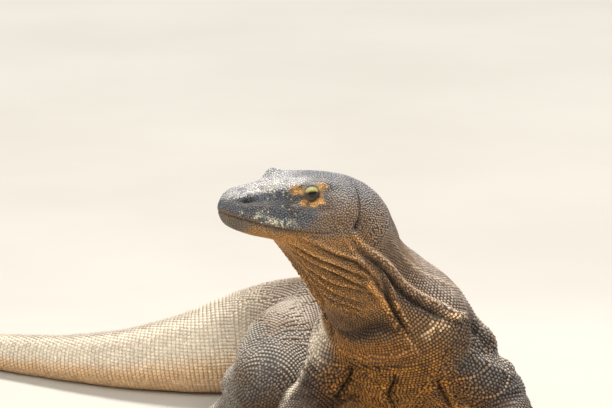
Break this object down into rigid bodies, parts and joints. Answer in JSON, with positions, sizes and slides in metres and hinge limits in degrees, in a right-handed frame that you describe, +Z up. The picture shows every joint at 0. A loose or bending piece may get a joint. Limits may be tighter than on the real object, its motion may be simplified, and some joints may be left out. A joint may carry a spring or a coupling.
{
  "type": "komodo dragon",
  "caption": "Life-size komodo dragon, chest propped on its forelegs, neck raised, head turned to its right, trunk curved away and tail laid on the floor.",
  "frame": {"origin": "middle of the model's box, on the floor it rests on", "axes": "+Z up; the chest faces -Y and the tail runs towards -X; the snout points towards -X and a little -Y"},
  "size_m": [1.4754, 0.9288, 0.4536],
  "materials": {
    "head_skin": "matt scaled skin, slate grey",
    "neck_skin": "matt bead-scaled skin, brown-grey",
    "trunk_skin": "matt bead-scaled skin, dusty grey-brown",
    "leg_skin": "matt bead-scaled skin, blue-grey",
    "tail_skin": "matt ringed scales, pale tan",
    "claw": "polished dark horn",
    "eye": "wet, glossy"
  },
  "bodies": {
    "root": {"eye_left": "eye", "eye_right": "eye", "head": "head_skin", "lower_jaw": "head_skin", "neck_upper": "neck_skin", "neck_lower": "neck_skin", "trunk_shoulders": "trunk_skin", "trunk_belly": "trunk_skin", "trunk_hips": "trunk_skin", "tail_base": "tail_skin", "tail_middle": "tail_skin", "tail_rear": "tail_skin", "tail_tip": "tail_skin", "foreleg_left_upper": "leg_skin", "foreleg_left_lower": "leg_skin", "foreleg_left_foot": "leg_skin", "foreleg_left_claw_1": "claw", "foreleg_left_claw_2": "claw", "foreleg_left_claw_3": "claw", "foreleg_left_claw_4": "claw", "foreleg_left_claw_5": "claw", "foreleg_right_upper": "leg_skin", "foreleg_right_lower": "leg_skin", "foreleg_right_foot": "leg_skin", "foreleg_right_claw_1": "claw", "foreleg_right_claw_2": "claw", "foreleg_right_claw_3": "claw", "foreleg_right_claw_4": "claw", "foreleg_right_claw_5": "claw", "hindleg_left_upper": "leg_skin", "hindleg_left_lower": "leg_skin", "hindleg_left_foot": "leg_skin", "hindleg_left_claw_1": "claw", "hindleg_left_claw_2": "claw", "hindleg_left_claw_3": "claw", "hindleg_left_claw_4": "claw", "hindleg_left_claw_5": "claw", "hindleg_right_upper": "leg_skin", "hindleg_right_lower": "leg_skin", "hindleg_right_foot": "leg_skin", "hindleg_right_claw_1": "claw", "hindleg_right_claw_2": "claw", "hindleg_right_claw_3": "claw", "hindleg_right_claw_4": "claw", "hindleg_right_claw_5": "claw"}
  },
  "joints": []
}
